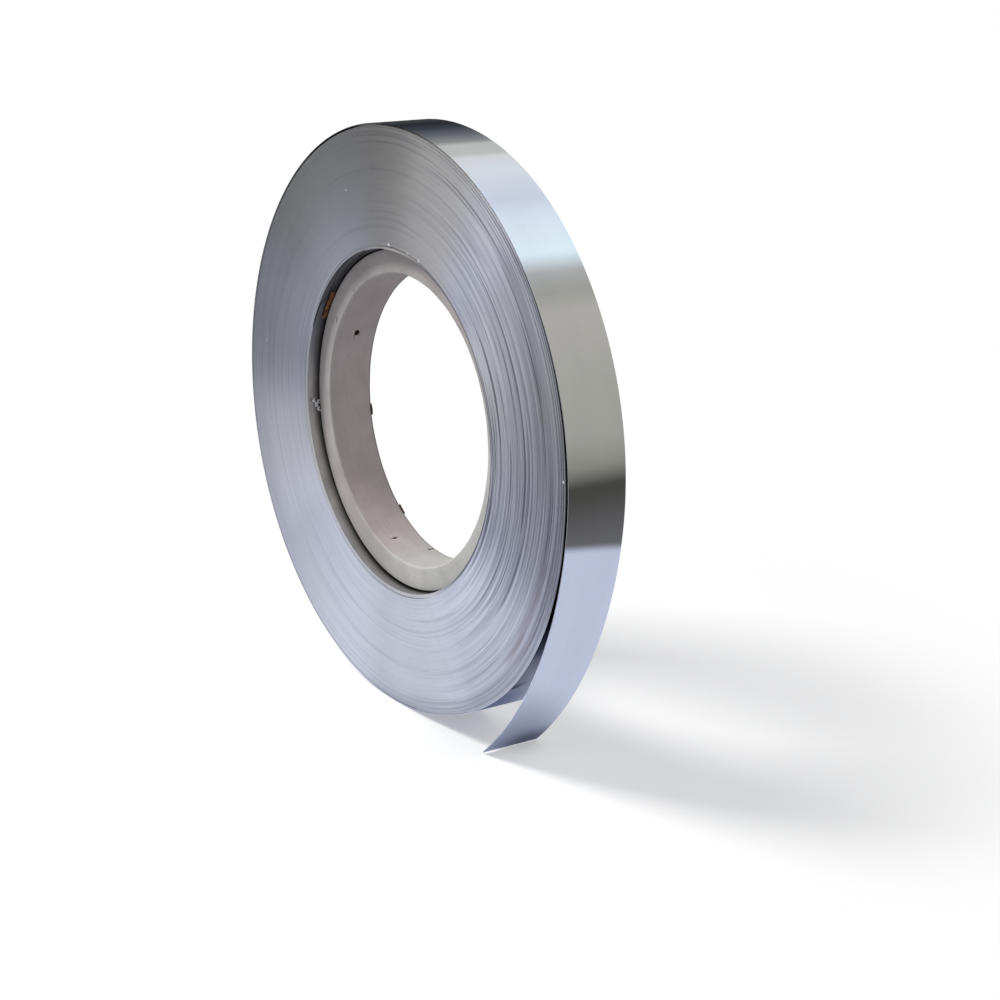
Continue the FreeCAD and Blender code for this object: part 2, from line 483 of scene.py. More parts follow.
SLIT_DARK = (0.60, 0.597, 0.64)
SLIT_LIGHT = (0.94, 0.945, 0.96)
WORN_GREY = (0.26, 0.26, 0.27)
PAINTED_SHEEN = (0.98, 0.98, 0.985)
PAINTED_WARM_REFLECTION = (0.73, 0.665, 0.525)
PAINTED_SIDE_SHADE = (0.40, 0.39, 0.34)
SHADE_LINE = (0.18, 0.17, 0.21)
RIM_BLACK = (0.04, 0.04, 0.05)
PAINTED_GAP_SHADOW = (0.025, 0.025, 0.035)
BORE_SHADE = (0.07, 0.08, 0.13)
OIL_STAIN = (0.40, 0.31, 0.32)
LINE_WOBBLE = 0.8 * MM

# Where bright sheen is painted on the edges: the side, the cosines where that starts and is full,
# the two shares of the radius, how bright at either, and whether that is eased
SHEEN_PLACES = (
    (SHEEN_SIDE, 0.93, 0.985, 0.78, 0.94, 0.0, 0.85, True),
    (STREAKED_SIDE, 0.82, 0.97, 0.64, 0.80, 0.7, 0.0, False),
    (OTHER_SHEEN_SIDE, 0.93, 0.995, 0.84, 0.95, 0.40, 0.12, True),
    (FOOT_SIDE, 0.94, 0.998, 0.82, 0.94, 0.42, 0.9, True),
)


def streaks(tree, outward, radius):
    """How strong the streaks are: strongest on one side, and there towards the outside."""
    streaked = on_side(tree, outward, STREAKED_SIDE, 0.15, 0.95, 0.18)
    outermost = by_radius(tree, radius, 0.85, 0.99, 0.0, 0.7, True)
    outer_side = on_side(tree, outward, STREAKED_SIDE, -0.2, 0.6, 0.25)
    return maths(tree, "MAXIMUM", streaked, times(tree, outermost, outer_side))


def wear(tree, outward, radius):
    """How dull the edges are: more so outwards, and less on the sheen side and at the bottom, where
    painted light keeps them lighter.
    """
    worn = by_radius(tree, radius, 0.62, 0.96, 0.0, 0.26)
    worn = times(tree, worn, on_side(tree, outward, SHEEN_SIDE, 0.90, 0.98, 1.0, -0.4))
    # Less at the bottom: painted light
    worn = times(tree, worn, on_side(tree, outward, LOW_SIDE, 0.74, 0.97, 1.0, 0.2))
    return times(tree, worn, by_radius(tree, radius, 0.992, 0.996, 1.0, 0.0))


def painted_sheen(tree, outward, radius):
    """How much painted sheen the edges get, on given sides."""
    bright = 0.0
    for side, far, near, low, high, at_low, at_high, smooth in SHEEN_PLACES:
        there = on_side(tree, outward, side, far, near)
        outwards = by_radius(tree, radius, low, high, at_low, at_high, smooth)
        bright = maths(tree, "MULTIPLY_ADD", there, outwards, bright)
    return bright


def side_shade(tree, outward, radius):
    """How strong the painted shade is on one side, more so outwards."""
    side_shade_amount = on_side(tree, outward, SHADED_SIDE, 0.74, 0.97, 0.0, 0.58)
    return times(tree, side_shade_amount, by_radius(tree, radius, 0.62, 0.96, 0.8, 1.55))


def shade_lines(tree, radius, bundle, broad, slip_line, streaked):
    """Painted shade as dark lines between the turns, and where some of them stand a little back."""
    line = times(tree, smoothed(tree, slip_line, 0.57, 0.68, 0.0, 0.75), streaked)
    seam = times(tree, streaked, smoothed(tree, broad, 0.40, 0.60, 0.25))
    wobble = maths(tree, "MULTIPLY_ADD", bundle, 2 * LINE_WOBBLE, radius)
    for place, strength in SLIPPED_TURNS:
        off_line = apart(tree, wobble, place + LINE_WOBBLE)
        on_line = smoothed(tree, off_line, 0.3 * MM, 1.1 * MM, strength, 0.0)
        line = maths(tree, "MAXIMUM", line, times(tree, on_line, seam))
    return line


def rim_outline(tree, outward, radius):
    """The dark outermost edge, on the side that is turned away from the light."""
    outline = by_radius(tree, radius, 0.9955, 0.997, 0.0, 0.9)
    return times(tree, outline, on_side(tree, outward, AVERTED_SIDE, 0.0, 0.4))


def lift_shadow(tree, outward, radius):
    """The black line of painted shadow in the gap along the turn that the free end lifts from."""
    start = spread(tree, radius, PACK_RADIUS - 0.9 * MM, PACK_RADIUS - 0.1 * MM, 0.0, 0.95)
    end = spread(tree, radius, PACK_RADIUS + 1.15 * MM, PACK_RADIUS + 1.2 * MM, 1.0, 0.0)
    line = times(tree, start, end)
    return times(tree, line, on_side(tree, outward, LIFTING_SIDE, 0.86, 0.93))


def bore_line(tree, outward, radius):
    """The shade along the first turns."""
    line = spread(tree, radius, PACK_BORE + 2.0 * MM, PACK_BORE + 3.2 * MM, 0.9, 0.0)
    return times(tree, line, on_side(tree, outward, STREAKED_SIDE, 0.2, 0.6))


def oil_stains(tree, outward, radius, stain):
    """Faint stains all over, and one by the outer edge."""
    faint = smoothed(tree, stain, 0.62, 0.80, 0.0, 0.25)
    near_stain = on_side(tree, outward, STAIN_ANGLE, 0.96, 0.995)
    off_ring = apart(tree, radius, STAIN_RADIUS)
    on_ring = smoothed(tree, off_ring, 0.0, STAIN_REACH, 1.0, 0.0)
    blotch = smoothed(tree, stain, 0.35, 0.62, 0.0, 0.7)
    return maths(tree, "MAXIMUM", faint, times(tree, times(tree, near_stain, on_ring), blotch))


def slit_edge_metal():
    """The satin ends of the coil: hundreds of slit strip edges, streaked in arcs."""
    material, tree, shader = new_material("aluminium_slit_edges", {"Anisotropic": 0.75})
    outward, radius, _ = about_axis(tree)
    radius = wound_radius(tree, outward, radius)
    here = (tree, outward, radius)
    turn = ring_grain(*here, *TURN_GRAIN)
    bundle = ring_grain(*here, *BUNDLE_GRAIN)
    broad = ring_grain(*here, *BROAD_GRAIN)
    streaked = streaks(*here)
    tone = weighed(tree, 0.0, (turn, 0.40), (bundle, 0.40), (broad, 0.20))
    centred = spread(tree, tone, 0.36, 0.64, -0.95, 0.95)
    tone = maths(tree, "MULTIPLY_ADD", centred, streaked, 0.5)
    lines = shade_lines(tree, radius, bundle, broad, ring_grain(*here, *SLIP_GRAIN), streaked)
    colour = blended(tree, tone, SLIT_DARK, SLIT_LIGHT)
    for amount, layer in (
        (wear(*here), WORN_GREY),
        # Painted sheen
        (painted_sheen(*here), PAINTED_SHEEN),
        # Painted warm reflection near the top
        (on_side(tree, outward, WARM_REFLECTION_SIDE, 0.88, 0.985, 0.0, 0.5), PAINTED_WARM_REFLECTION),
        # Painted shade on one side
        (side_shade(*here), PAINTED_SIDE_SHADE),
        # Painted shade lines
        (lines, SHADE_LINE),
        (rim_outline(*here), RIM_BLACK),
        # Painted shadow in the gap under the free end
        (lift_shadow(*here), PAINTED_GAP_SHADOW),
        (bore_line(*here), BORE_SHADE),
        (oil_stains(*here, ring_grain(*here, *STAIN_GRAIN)), OIL_STAIN),
    ):
        colour = blended(tree, amount, colour, layer)
    coat(tree, shader, colour, weighed(tree, 0.31, (bundle, 0.12), (turn, 0.06)))
    burnished = spread(tree, radius, PACK_BORE + 2.4 * MM, PACK_BORE + 3.8 * MM, 0.4, 1.0)
    feed(tree, shader.inputs["Metallic"], burnished)
    feed(tree, shader.inputs["Tangent"], outward)
    height = weighed(tree, bundle, (turn, 0.2))
    height = times(tree, height, spread(tree, streaked, 0.2, 1.0, 0.1, 1.0))
    relief(tree, shader, height, 0.17 * MM, 0.6)
    return material


# The other finishes

def clouded(name, fixed, scale, detail, dark, light, rough, depth, strength):
    """A finish that changes in clouds, in its colour, its gloss and its relief."""
    material, tree, shader = new_material(name, fixed)
    cloud = grain(tree, object_place(tree), scale, detail)
    coat(tree, shader, blended(tree, cloud, dark, light), spread(tree, cloud, 0.3, 0.7, *rough))
    relief(tree, shader, cloud, depth, strength)
    return material


def dulled_face_metal():
    """The inside of the first turns, dulled by the board's dust, with painted shade on one side and
    painted shade that deepens towards the core.
    """
    material, tree, shader = new_material("aluminium_dulled_face", {"Metallic": 1.0})
    outward, _, depth = about_axis(tree)
    streak = drawn_grain(tree, outward, 3.0, times(tree, depth, 900.0), 3.0)
    cloud = grain(tree, object_place(tree), 55.0, 3.0)
    tone = spread(tree, weighed(tree, cloud, (streak, 0.5)), 0.5, 1.0)
    clean = blended(tree, tone, (0.48, 0.48, 0.49), (0.66, 0.66, 0.65))
    # Painted shade on one side
    side_in_shade = on_side(tree, outward, SHADED_SIDE, 0.45, 0.85, 0.0, 0.82)
    clean = blended(tree, side_in_shade, clean, (0.17, 0.175, 0.225))
    # Painted shade that deepens towards the core
    deeper_shade = smoothed(tree, depth, NEAR_FACE + 5 * MM, CORE_NEAR, 0.0, 0.7)
    colour = blended(tree, deeper_shade, clean, (0.08, 0.078, 0.075))
    coat(tree, shader, colour, weighed(tree, 0.24, (cloud, 0.2)))
    relief(tree, shader, streak, 0.05 * MM, 0.4)
    return material


def strip_face_metal(strip_end):
    """The rolled mirror face of the strip, streaked along its length, with painted shade near the tip
    and on the last turn under the free end.
    """
    fixed = {"Metallic": 1.0, "Anisotropic": 0.5, "Anisotropic Rotation": 0.25}
    material, tree, shader = new_material("aluminium_strip_face", fixed)
    place = new_node(tree, "ShaderNodeUVMap", uv_map="strip").outputs["UV"]

    def drawn(lengthwise, across, detail):
        """Noise on the strip, stretched along it and across it."""
        stretched = vector_maths(tree, "MULTIPLY", place, (lengthwise, across, 1.0))
        return grain(tree, stretched, 1.0, detail)

    streak = drawn(2.0, 900.0, 3.0)
    cloud = drawn(9.0, 26.0, 3.0)
    wave = drawn(7.0, 11.0, 1.0)
    tone = spread(tree, weighed(tree, cloud, (streak, 0.5)), 0.45, 1.05)
    colour = blended(tree, tone, (0.84, 0.85, 0.86), (0.92, 0.92, 0.93))
    length, width, _ = parts_of(tree, place)
    # Painted shade near the tip, on its far half
    tip_shade = smoothed(tree, length, strip_end - 47 * MM, strip_end - 8 * MM, 0.0, 0.92)
    far_half = smoothed(tree, width, -25 * MM, 18 * MM, 0.25)
    colour = blended(tree, times(tree, tip_shade, far_half), colour, (0.15, 0.15, 0.15))
    # Painted shade on the last turn's outside, under the free end
    from_lift = smoothed(tree, length, SHADED_FROM - 30 * MM, SHADED_FROM)
    to_floor = smoothed(tree, length, SHADED_TO - 120 * MM, SHADED_TO, 0.95, 0.0)
    colour = blended(tree, times(tree, from_lift, to_floor), colour, (0.035, 0.04, 0.07))
    coat(tree, shader, colour, weighed(tree, 0.035, (streak, 0.03), (cloud, 0.03)))
    tangent = new_node(tree, "ShaderNodeTangent", direction_type="UV_MAP", uv_map="strip")
    feed(tree, shader.inputs["Tangent"], tangent.outputs["Tangent"])
    relief(tree, shader, weighed(tree, wave, (streak, 0.02)), 0.8 * MM, 0.2)
    return material


def core_paper(name, tones, lit_tones, plies):
    """Wound grey board, with painted light: lighter tones towards one side. plies shows its layers as
    rings on the ends.
    """
    material, tree, shader = new_material(name, {"Specular IOR Level": 0.25})
    outward, radius, depth = about_axis(tree)
    place = object_place(tree)
    fibre = grain(tree, place, 900.0, 4.0, 0.6)
    patch = grain(tree, place, 38.0, 3.0)
    speck = grain(tree, place, 260.0, 2.0)
    if plies:
        lined = ring_grain(tree, outward, radius, 2.0, 1500.0, 5.0)
    else:
        across = maths(tree, "MULTIPLY_ADD", depth, 500.0, 2.0)
        lined = drawn_grain(tree, outward, 5.0, across)
    tone = weighed(tree, 0.0, (fibre, 0.35), (patch, 0.40), (lined, 0.25))
    tone = spread(tree, tone, 0.36, 0.64)
    # Lighter tones towards one side: painted light
    lit_side = on_side(tree, outward, PAINTED_LIGHT_SIDE, 0.1, 0.95)
    colour = blended(
        tree, lit_side, blended(tree, tone, *tones), blended(tree, tone, *lit_tones)
    )
    dirt = smoothed(tree, speck, 0.66, 0.78, 0.0, 0.35)
    # Darker along the far mouth of the bore
    by_far_end = smoothed(tree, depth, CORE_FAR - 2.6 * MM, CORE_FAR - 1.4 * MM, 0.0, 0.8)
    at_mouth = spread(tree, radius, CORE_BORE + 1.2 * MM, CORE_BORE + 2.4 * MM, 1.0, 0.0)
    dirt = maths(tree, "MAXIMUM", dirt, times(tree, by_far_end, at_mouth))
    colour = blended(tree, dirt, colour, (0.16, 0.13, 0.12))
    coat(tree, shader, colour, spread(tree, patch, 0.3, 0.7, 0.82, 0.95))
    relief(tree, shader, weighed(tree, fibre, (lined, 0.5)), 0.3 * MM, 0.6 if plies else 0.3)
    return material


def kraft_tape():
    """Orange-brown gummed tape, creased and rubbed."""
    material, tree, shader = new_material("gummed_tape")
    place = object_place(tree)
    crease = grain(tree, place, 240.0, 3.0)
    fibre = grain(tree, place, 1400.0, 2.0)
    tone = spread(tree, crease, 0.35, 0.65)
    colour = blended(tree, tone, (0.09, 0.028, 0.012), (0.34, 0.14, 0.05))
    coat(tree, shader, colour, spread(tree, fibre, 0.3, 0.7, 0.35, 0.6))
    relief(tree, shader, crease, 0.3 * MM, 0.6)
    return material


# The wound turns

def turn_edge_tree():
    """Geometry nodes that wind one strip edge into a flat spiral of turns."""
    tree = bpy.data.node_groups.new("wind_strip_edge", "GeometryNodeTree")
    face = tree.interface
    face.new_socket(name="Geometry", in_out="OUTPUT", socket_type="NodeSocketGeometry")
    for label in ("First radius", "Last radius", "Turns", "Gauge", "Arris", "Skirt"):
        face.new_socket(name=label, in_out="INPUT", socket_type="NodeSocketFloat")
    for label in ("Broad slip", "Sudden slip", "Wander", "Lie", "Turn over", "Way round"):
        face.new_socket(name=label, in_out="INPUT", socket_type="NodeSocketFloat")
    face.new_socket(name="Steps", in_out="INPUT", socket_type="NodeSocketInt")
    face.new_socket(name="Metal", in_out="INPUT", socket_type="NodeSocketMaterial")
    given = new_node(tree, "NodeGroupInput").outputs
    course = {
        "Resolution": given["Steps"],
        "Rotations": given["Turns"],
        "Start Radius": given["First radius"],
        "End Radius": given["Last radius"],
        "Height": 0.0,
    }
    spiral = new_node(tree, "GeometryNodeCurveSpiral", course)
    index = new_node(tree, "GeometryNodeInputIndex").outputs[0]
    turn = maths(tree, "DIVIDE", index, given["Steps"])

    def slipped(rate, shift, gain, amount):
        """A slip that changes from turn to turn, between minus and plus an amount."""
        lie = maths(tree, "ADD", given["Lie"], shift)
        feeds = {"Scale": 1.0, "Detail": 1.0, "W": maths(tree, "MULTIPLY_ADD", turn, rate, lie)}
        wave = new_node(tree, "ShaderNodeTexNoise", noise_dimensions="1D", feeds=feeds)
        pushed = times(tree, maths(tree, "SUBTRACT", wave.outputs[0], 0.5), gain)
        held = maths(tree, "MAXIMUM", maths(tree, "MINIMUM", pushed, 1.0), -1.0)
        return times(tree, held, amount)

    height = slipped(0.09, 0.0, 3.0, given["Broad slip"])
    height = maths(tree, "ADD", height, slipped(0.23, 50.0, 40.0, given["Sudden slip"]))
    height = maths(tree, "ADD", height, slipped(1.37, 100.0, 3.0, given["Wander"]))

    # The turns lie closest opposite the streaked side
    angle = maths(tree, "MULTIPLY_ADD", turn, 2 * math.pi, -math.radians(STREAKED_SIDE))
    share = smoothed(tree, maths(tree, "COSINE", angle), 0.05, 0.85, 0.24)
    height = times(tree, height, share)

    # The loose turns swell outwards, the outermost one the most
    spot = new_node(tree, "GeometryNodeInputPosition").outputs["Position"]
    parts = parts_of(tree, spot)
    angle = maths(tree, "ARCTAN2", parts["Y"], parts["X"])
    out = swelling_of(tree, times(tree, angle, given["Way round"]))
    loose = spread(tree, vector_maths(tree, "LENGTH", spot), LOOSE_FROM, PACK_RADIUS)
    moved = scaled(tree, vector_maths(tree, "NORMALIZE", spot), times(tree, out, loose))
    moved = vector_maths(tree, "ADD", moved, joined(tree, 0.0, 0.0, height))
    feeds = {"Geometry": spiral.outputs["Curve"], "Offset": moved}
    lift = new_node(tree, "GeometryNodeSetPosition", feeds)
    feeds = {"Curve": lift.outputs["Geometry"]}
    upright = new_node(tree, "GeometryNodeSetCurveNormal", mode="Z_UP", feeds=feeds)

    # The strip's edge: two softened corners, and a skirt down to the ring between the ends
    half = times(tree, given["Gauge"], 0.5)
    inside = maths(tree, "SUBTRACT", half, given["Arris"])
    corners = (
        (times(tree, half, -1.0), given["Skirt"]),
        (times(tree, inside, -1.0), 0.0),
        (inside, 0.0),
        (half, given["Skirt"]),
    )
    feeds = {
        f"Point {number}": joined(tree, across, drop, 0.0)
        for number, (across, drop) in enumerate(corners, start=1)
    }
    edge = new_node(tree, "GeometryNodeCurvePrimitiveQuadrilateral", mode="POINTS", feeds=feeds)
    feeds = {"Curve": upright.outputs["Curve"], "Profile Curve": edge.outputs["Curve"]}
    sweep = new_node(tree, "GeometryNodeCurveToMesh", feeds)
    turned = joined(tree, given["Turn over"], 0.0, 0.0)
    feeds = {"Geometry": sweep.outputs["Mesh"], "Rotation": turned}
    place = new_node(tree, "GeometryNodeTransform", feeds)
    feeds = {"Geometry": place.outputs["Geometry"]}
    real = new_node(tree, "GeometryNodeRealizeInstances", feeds)
    feeds = {"Geometry": real.outputs["Geometry"], "Material": given["Metal"]}
    metal = new_node(tree, "GeometryNodeSetMaterial", feeds)
    new_node(tree, "NodeGroupOutput", {0: metal.outputs["Geometry"]})
    return tree


def grown(tree, name, values, shift):
    """Runs a geometry tree on an empty mesh and returns the result as a plain mesh object."""
    start = new_object(name + "_start", bpy.data.meshes.new(name + "_start"))
    modifier = start.modifiers.new("wind", "NODES")
    modifier.node_group = tree
    for item in tree.interface.items_tree:
        if item.item_type == "SOCKET" and item.in_out == "INPUT":
            modifier[item.identifier] = values[item.name]
    mesh = finished_mesh(start)
    mesh.name = name
    mesh.transform(shift)
    bpy.data.objects.remove(start)
    return new_object(name, mesh)


def wind_edges(name, metal, far):
    """All the strip edges on one end of the coil, as one spiral."""
    tree = bpy.data.node_groups.get("wind_strip_edge") or turn_edge_tree()
    first = FIRST_TURNS_END + STRIP_GAUGE / 2
    last = PACK_RADIUS - HAIR - STRIP_GAUGE / 2
    values = {
        "First radius": first,
        "Last radius": last,
        "Turns": (last - first) / STRIP_GAUGE,
        "Gauge": STRIP_GAUGE,
        "Arris": TURN_ARRIS,
        "Skirt": TURN_SKIRT,
        "Broad slip": BROAD_SLIP,
        "Sudden slip": SUDDEN_SLIP,
        "Wander": TURN_WANDER,
        "Lie": 91.0 if far else 4.0,
        "Turn over": math.radians(-90.0 if far else 90.0),
        "Way round": -1.0 if far else 1.0,
        "Steps": TURN_STEPS,
        "Metal": metal,
    }
    place = FAR_FACE if far else NEAR_FACE
    return grown(tree, name, values, Matrix.Translation((0.0, place, 0.0)))


def lathe(name, profile, steps, materials, picks):
    """A closed ring: a closed profile of (radius, y) points turned about the coil's axis."""
    points = []
    for step in range(steps):
        points += ring_at(360.0 * step / steps, profile)
    piece = mesh_object(name, points, skin(steps, len(profile), True), materials)
    for number, face in enumerate(piece.data.polygons):
        face.material_index = picks[number % len(profile)]
    face_outwards(piece)
    return piece


def add_ring_uv(piece):
    """A strip map on a ring: length round the axis and place across the width."""
    layer = piece.data.uv_layers.new(name="strip")
    for face in piece.data.polygons:
        middle = math.atan2(face.center.z, face.center.x)
        for loop in face.loop_indices:
            spot = piece.data.vertices[piece.data.loops[loop].vertex_index].co
            angle = math.atan2(spot.z, spot.x)
            while angle - middle > math.pi:
                angle -= 2 * math.pi
            while middle - angle > math.pi:
                angle += 2 * math.pi
            layer.data[loop].uv = (angle * COIL_RADIUS, spot.y)


def pack_ring(face_metal, edge_metal):
    """What fills the coil between its ends: the outer face and the bore wall of the pack."""
    outer = PACK_RADIUS - HAIR
    inner = FIRST_TURNS_END - STRIP_GAUGE
    near = NEAR_FACE + 1.6 * MM
    far = FAR_FACE - 1.6 * MM
    profile = [(outer, near), (outer, far), (inner, far), (inner, near)]
    piece = lathe("pack_outer_face", profile, 360, [face_metal, edge_metal], [0, 1, 0, 1])
    for point in piece.data.vertices:
        spot = point.co
        out = flat_part(spot)
        if out.length > LOOSE_FROM:
            degrees = math.degrees(math.atan2(spot.z, spot.x))
            spot += out.normalized() * swelling(degrees)
    add_ring_uv(piece)
    smooth_with_arrises(piece, 20.0)
    return piece


def free_end_line():
    """The outside of the last turn and the free end: (point, outward way, length so far)."""
    centre = Vector((0.0, 0.0, 0.0))
    quarter_growth = TURN_GROWTH / 4
    radius = COIL_RADIUS - TURN_GROWTH
    arcs = []
    for quarter in range(4):
        angle = LIFT_ANGLE - 90.0 * quarter
        arcs.append((centre, radius, angle, angle - 90.0))
        centre = centre - unit(angle - 90.0) * quarter_growth
        radius += quarter_growth
    lift_end = LIFT_ANGLE - LIFT_SPAN
    centre = unit(LIFT_ANGLE) * -LIFT_EASING
    arcs.append((centre, COIL_RADIUS + LIFT_EASING, LIFT_ANGLE, lift_end))
    centre = centre - unit(lift_end) * (TAIL_EASING - LIFT_EASING)
    arcs.append((centre, COIL_RADIUS + TAIL_EASING, lift_end, TAIL_END_ANGLE))
    line = []
    length = 0.0
    for number, (middle, size, start, end) in enumerate(arcs):
        steps = max(4, round(abs(start - end)))
        for step in range(1 if number else 0, steps + 1):
            degrees = start + (end - start) * step / steps
            way = unit(degrees)
            point = middle + way * size
            if number < 2:
                point += way * swelling(degrees)
            if line:
                length += (point - line[-1][0]).length
            line.append((point, way, length))
    return line


def last_turn_and_tail(face_metal, edge_metal):
    """The outermost strip with its real gauge and softened slit edges."""
    half = STRIP_WIDTH / 2
    soft = 0.14 * MM
    bevel = 0.3 * soft
    under = -STRIP_GAUGE
    profile = [
        (-half + soft, 0.0),
        (half - soft, 0.0),
        (half - bevel, -bevel),
        (half, -soft),
        (half, under + soft),
        (half - bevel, under + bevel),
        (half - soft, under),
        (-half + soft, under),
        (-half + bevel, under + bevel),
        (-half, under + soft),
        (-half, -soft),
        (-half + bevel, -bevel),
    ]
    flat_sides = (0, 6)
    line = free_end_line()
    count = len(profile)
    points = []
    places = []
    for point, way, length in line:
        for across, out in profile:
            spot = point + way * (out - HAIR)
            points.append((spot.x, across, spot.z))
            places.append((length, across))
    faces = skin(len(line), count, False)
    piece = mesh_object("last_turn_and_tail", points, faces, [face_metal, edge_metal])
    for face in piece.data.polygons:
        flat = face.index % count in flat_sides and face.index < len(faces) - 2
        face.material_index = 0 if flat else 1
    lay_strip_map(piece, places)
    face_outwards(piece)
    smooth_with_arrises(piece, 20.0)
    return piece


def first_turn_depth(step):
    """How far in the near edge of the first turns lies, one degree after the other."""
    turn, degrees = divmod(step, 360)
    if turn == 0 and degrees < 360 - SECOND_EDGE_LEAD:
        return along(FIRST_EDGE, STRIP_START - degrees)
    if turn == 0:
        return along(SECOND_EDGE, STRIP_START - degrees + 360.0)
    if turn == 1:
        return along(SECOND_EDGE, STRIP_START - degrees)
    return 0.0


def first_turns(face_metal, edge_metal, shade_edge_metal):
    """The turns next to the core, as one wound strip whose start is cut at a long slant."""
    soft = 0.2 * MM
    turns = FIRST_TURNS - 1
    steps = 360 * turns
    points = []
    places = []
    slants = []
    for step in range(steps + 1):
        turn = step / 360
        inner = PACK_BORE + turn * STRIP_GAUGE
        outer = inner + STRIP_GAUGE * 0.92
        slanted = first_turn_depth(step)
        near = NEAR_FACE + FIRST_TURNS_SLIP * (1.0 - 0.7 * turn / turns) + slanted
        far = FAR_FACE + FIRST_TURNS_SLIP * (1.0 - 0.3 * turn / turns)
        slants.append(slanted)
        profile = (
            (inner, near + soft),
            (inner + soft, near),
            (outer - soft, near),
            (outer, near + soft),
            (outer, far - soft),
            (outer - soft, far),
            (inner + soft, far),
            (inner, far - soft),
        )
        points += ring_at(STRIP_START - step, profile)
        places += [(-math.radians(step) * inner, y) for _, y in profile]
    near_sides = (0, 1, 2)
    flat_sides = (3, 7)
    metals = [face_metal, edge_metal, shade_edge_metal]
    piece = mesh_object("first_turns", points, skin(steps + 1, 8, False), metals)
    for face in piece.data.polygons:
        step, corner = divmod(face.index, 8)
        face.material_index = 0 if corner in flat_sides else 1
        # Slanted near edges take the dark metal: painted shade in the gaps between the turns
        if corner in near_sides and slants[min(step, steps)] > 0.3 * MM:
            face.material_index = 2
    lay_strip_map(piece, places)
    face_outwards(piece)
    smooth_with_arrises(piece, 20.0)
    return piece


# The board core

def core_ring(end_paper, wall_paper):
    """The wound board core, with its rounded mouth and slightly uneven wall."""
    bore = CORE_BORE
    outer = CORE_RADIUS - 0.5 * MM
    near = CORE_NEAR
    far = CORE_FAR
    mouth = 1.8 * MM
    rim = 1.5 * MM
    profile = []

    def corner(centre_radius, centre_y, size, start):
        """Six points of a quarter round."""
        for step in range(6):
            angle = math.radians(start + 90.0 * step / 5)
            spot = (centre_radius + size * math.cos(angle), centre_y + size * math.sin(angle))
            profile.append(spot)

    def end_face(y, shares):
        """Points on one of the core's ends."""
        for share in shares:
            profile.append((bore + mouth + (outer - rim - bore - mouth) * share, y))

    corner(bore + mouth, near + mouth, mouth, 180.0)
    end_face(near, (0.25, 0.5, 0.75))
    corner(outer - rim, near + rim, rim, 270.0)
    corner(outer - rim, far - rim, rim, 0.0)
    end_face(far, (0.75, 0.5, 0.25))
    corner(bore + mouth, far - mouth, mouth, 90.0)
    wall_start = len(profile) - 1
    for share in (0.8, 0.6, 0.4, 0.2):
        profile.append((bore, near + mouth + (far - near - 2 * mouth) * share))
    picks = [1 if number >= wall_start else 0 for number in range(len(profile))]
    piece = lathe("board_core", profile, 240, [end_paper, wall_paper], picks)
    for point in piece.data.vertices:
        spot = point.co
        out = flat_part(spot)
        if out.length < bore + 4 * MM:
            uneven = noise.noise(spot * 55.0) * 0.35 * MM + noise.noise(spot * 260.0) * 0.12 * MM
            spot += out.normalized() * (uneven + 0.3 * MM)
    smooth_with_arrises(piece, 40.0)
    return piece


# Holes in the core: (angle, y, radius, whether they run along the axis, half size round,
# half size across, half length)
CORE_HOLES = (
    (155.3, 7.3 * MM, CORE_BORE, False, 3.6 * MM, 3.2 * MM, 6 * MM),
    (130.2, CORE_NEAR, CORE_BORE + 3.6 * MM, True, 0.8 * MM, 0.8 * MM, 3 * MM),
    (119.1, 12.1 * MM, CORE_BORE, False, 0.7 * MM, 0.8 * MM, 3 * MM),
    (-109.8, 1.6 * MM, CORE_BORE, False, 1.2 * MM, 3.1 * MM, 3 * MM),
    (-97.2, 26.3 * MM, CORE_BORE, False, 0.9 * MM, 4.2 * MM, 3 * MM),
)
HOLE_SIDES = 14


def pierced(piece, holes, lining):
    """Cuts narrow holes into a closed piece and lines them."""
    shell = bmesh.new()
    axis = Vector((0.0, 1.0, 0.0))
    for angle, y, radius, lengthwise, half_round, half_across, reach in holes:
        way = unit(angle)
        sideways = unit(angle + 90.0)
        middle = way * radius + axis * y
        across, inwards = (way, axis) if lengthwise else (axis, way)
        rings = []
        for depth in (-reach, reach):
            ring = []
            for step in range(HOLE_SIDES):
                turn = 2 * math.pi * step / HOLE_SIDES
                spot = middle + inwards * depth
                spot = spot + sideways * (half_round * math.cos(turn))
                spot = spot + across * (half_across * math.sin(turn))
                ring.append(shell.verts.new(spot))
            rings.append(ring)
        shell.faces.new(rings[0])
        shell.faces.new(list(reversed(rings[1])))
        for step in range(HOLE_SIDES):
            after = (step + 1) % HOLE_SIDES
            corners = (rings[0][step], rings[1][step], rings[1][after], rings[0][after])
            shell.faces.new(corners)
    bmesh.ops.recalc_face_normals(shell, faces=shell.faces)
    pegs = shell_object("pegs", shell, lining)
    cut = piece.modifiers.new("holes", "BOOLEAN")
    cut.operation = "DIFFERENCE"
    cut.solver = "EXACT"
    cut.material_mode = "TRANSFER"
    cut.object = pegs
    result = finished_mesh(piece)
    piece.modifiers.remove(cut)
    whole = piece.data
    piece.data = result
    result.name = piece.name
    bpy.data.meshes.remove(whole)
    bpy.data.objects.remove(pegs)


# Tape, chips and scraps

TAPE_ANGLES = (141.2, 153.6)
TAPE_DEPTHS = (-23.4 * MM, -18.5 * MM)
TAPE_THICKNESS = 0.16 * MM

TO_NEAR = Vector((0.0, -1.0, 0.0))
TO_FAR = Vector((0.0, 1.0, 0.0))

